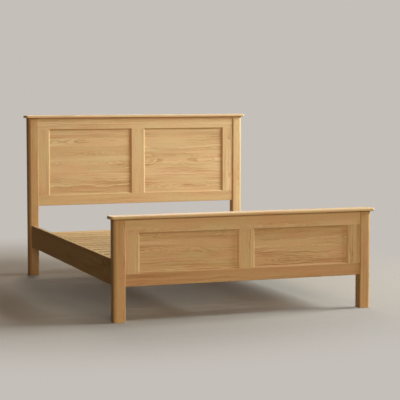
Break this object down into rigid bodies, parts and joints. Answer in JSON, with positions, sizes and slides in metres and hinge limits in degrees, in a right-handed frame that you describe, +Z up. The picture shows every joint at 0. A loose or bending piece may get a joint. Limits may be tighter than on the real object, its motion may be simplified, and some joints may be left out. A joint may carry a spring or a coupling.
{
  "type": "panel bed",
  "caption": "Solid oak double bed with framed flat-panel headboard and footboard, moulded caps, square rounded posts, deep side rails and a slatted base.",
  "frame": {"origin": "on the floor, midway between the two side rails and midway between the outer edges of the two caps", "axes": "+X to the right seen from the foot of the bed, +Y from the foot to the head, +Z up"},
  "size_m": [1.66, 2.194, 1.135],
  "materials": {
    "frame_oak": "satin lacquer, open grain",
    "panel_oak": "satin lacquer, open grain",
    "slat_oak": "planed, thin satin lacquer",
    "carrier_oak": "planed, unpolished",
    "tongue_beech": "planed, bare",
    "zinc_steel": "zinc plated, dull"
  },
  "bodies": {
    "root": {"beam_hanger_foot": "carrier_oak", "beam_hanger_head": "carrier_oak", "bracket_bolts": "zinc_steel", "bracket_screws": "zinc_steel", "centre_beam": "carrier_oak", "footboard_bottom_rail": "frame_oak", "footboard_cap": "frame_oak", "footboard_cap_tongue": "tongue_beech", "footboard_centre_stile": "frame_oak", "footboard_left_bracket": "zinc_steel", "footboard_left_panel": "panel_oak", "footboard_left_post": "frame_oak", "footboard_left_stile": "frame_oak", "footboard_right_bracket": "zinc_steel", "footboard_right_panel": "panel_oak", "footboard_right_post": "frame_oak", "footboard_right_stile": "frame_oak", "footboard_stile_tongues": "tongue_beech", "footboard_top_rail": "frame_oak", "hanger_screws": "zinc_steel", "headboard_bottom_rail": "frame_oak", "headboard_cap": "frame_oak", "headboard_cap_tongue": "tongue_beech", "headboard_centre_stile": "frame_oak", "headboard_cross_rail": "carrier_oak", "headboard_left_bracket": "zinc_steel", "headboard_left_panel": "panel_oak", "headboard_left_post": "frame_oak", "headboard_left_stile": "frame_oak", "headboard_right_bracket": "zinc_steel", "headboard_right_panel": "panel_oak", "headboard_right_post": "frame_oak", "headboard_right_stile": "frame_oak", "headboard_stile_tongues": "tongue_beech", "headboard_top_rail": "frame_oak", "ledger_screws": "zinc_steel", "left_side_rail": "frame_oak", "left_slat_ledger": "carrier_oak", "right_side_rail": "frame_oak", "right_slat_ledger": "carrier_oak", "slat_01": "slat_oak", "slat_02": "slat_oak", "slat_03": "slat_oak", "slat_04": "slat_oak", "slat_05": "slat_oak", "slat_06": "slat_oak", "slat_07": "slat_oak", "slat_08": "slat_oak", "slat_09": "slat_oak", "slat_10": "slat_oak", "slat_11": "slat_oak", "slat_12": "slat_oak", "slat_13": "slat_oak", "slat_14": "slat_oak", "slat_15": "slat_oak", "slat_16": "slat_oak", "slat_screws": "zinc_steel", "threaded_inserts": "zinc_steel"}
  },
  "joints": []
}
